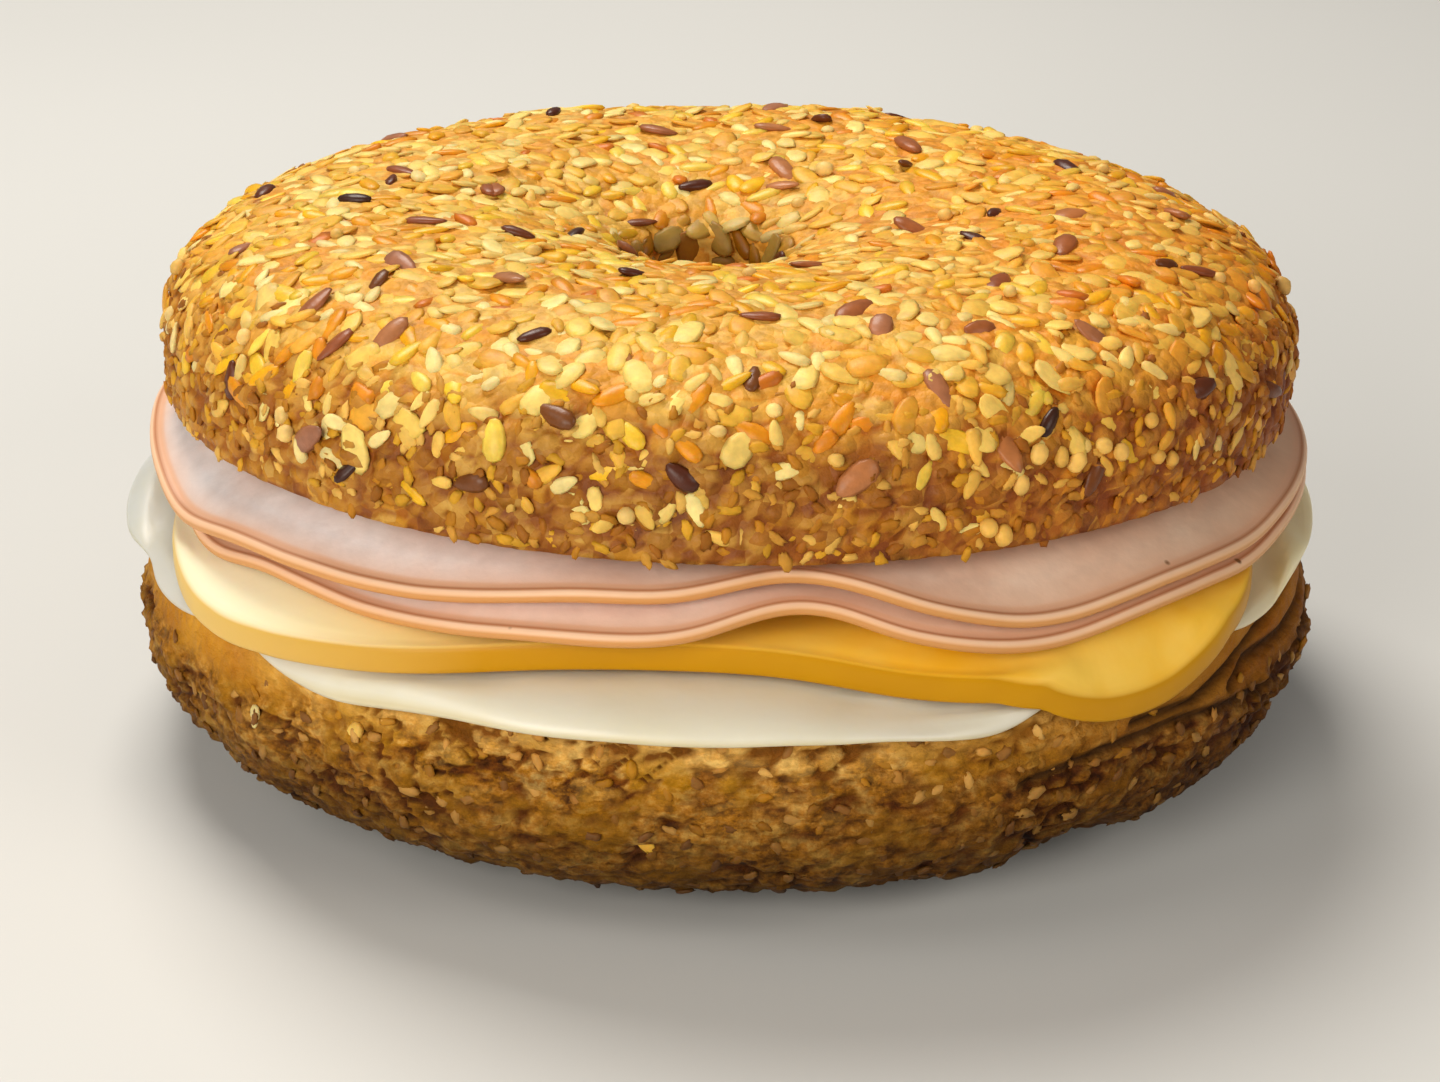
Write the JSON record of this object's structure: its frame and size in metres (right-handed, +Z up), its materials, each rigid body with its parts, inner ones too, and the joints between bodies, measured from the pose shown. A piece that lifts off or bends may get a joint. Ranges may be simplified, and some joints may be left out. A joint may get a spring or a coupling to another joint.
{
  "type": "filled seeded bagel",
  "caption": "Seeded bagel cut through and filled with soft white cheese, yellow cheese and wavy ham, resting on its flat underside.",
  "frame": {"origin": "middle of the footprint, on the surface that the flat underside rests on", "axes": "+Z up, -Y towards the front that shows the yellow cheese's edge between its drooping corners, +X to the right"},
  "size_m": [0.1136, 0.1066, 0.0531],
  "materials": {
    "bread_bottom": "tan-brown craggy bread crust with olive-yellow flecks, smooth golden bands beside the cut",
    "bread_top": "golden baked crust covered with mixed seeds and flakes",
    "white_cheese": "soft, smooth, slightly translucent",
    "yellow_cheese": "smooth sliced cheese with a low sheen",
    "ham": "moist cooked ham, browner at the rim"
  },
  "bodies": {
    "root": {"bottom_half": "bread_bottom", "white_layer": "white_cheese", "yellow_cheese": "yellow_cheese", "ham_lower": "ham", "ham_upper": "ham", "top_half": "bread_top"}
  },
  "joints": []
}
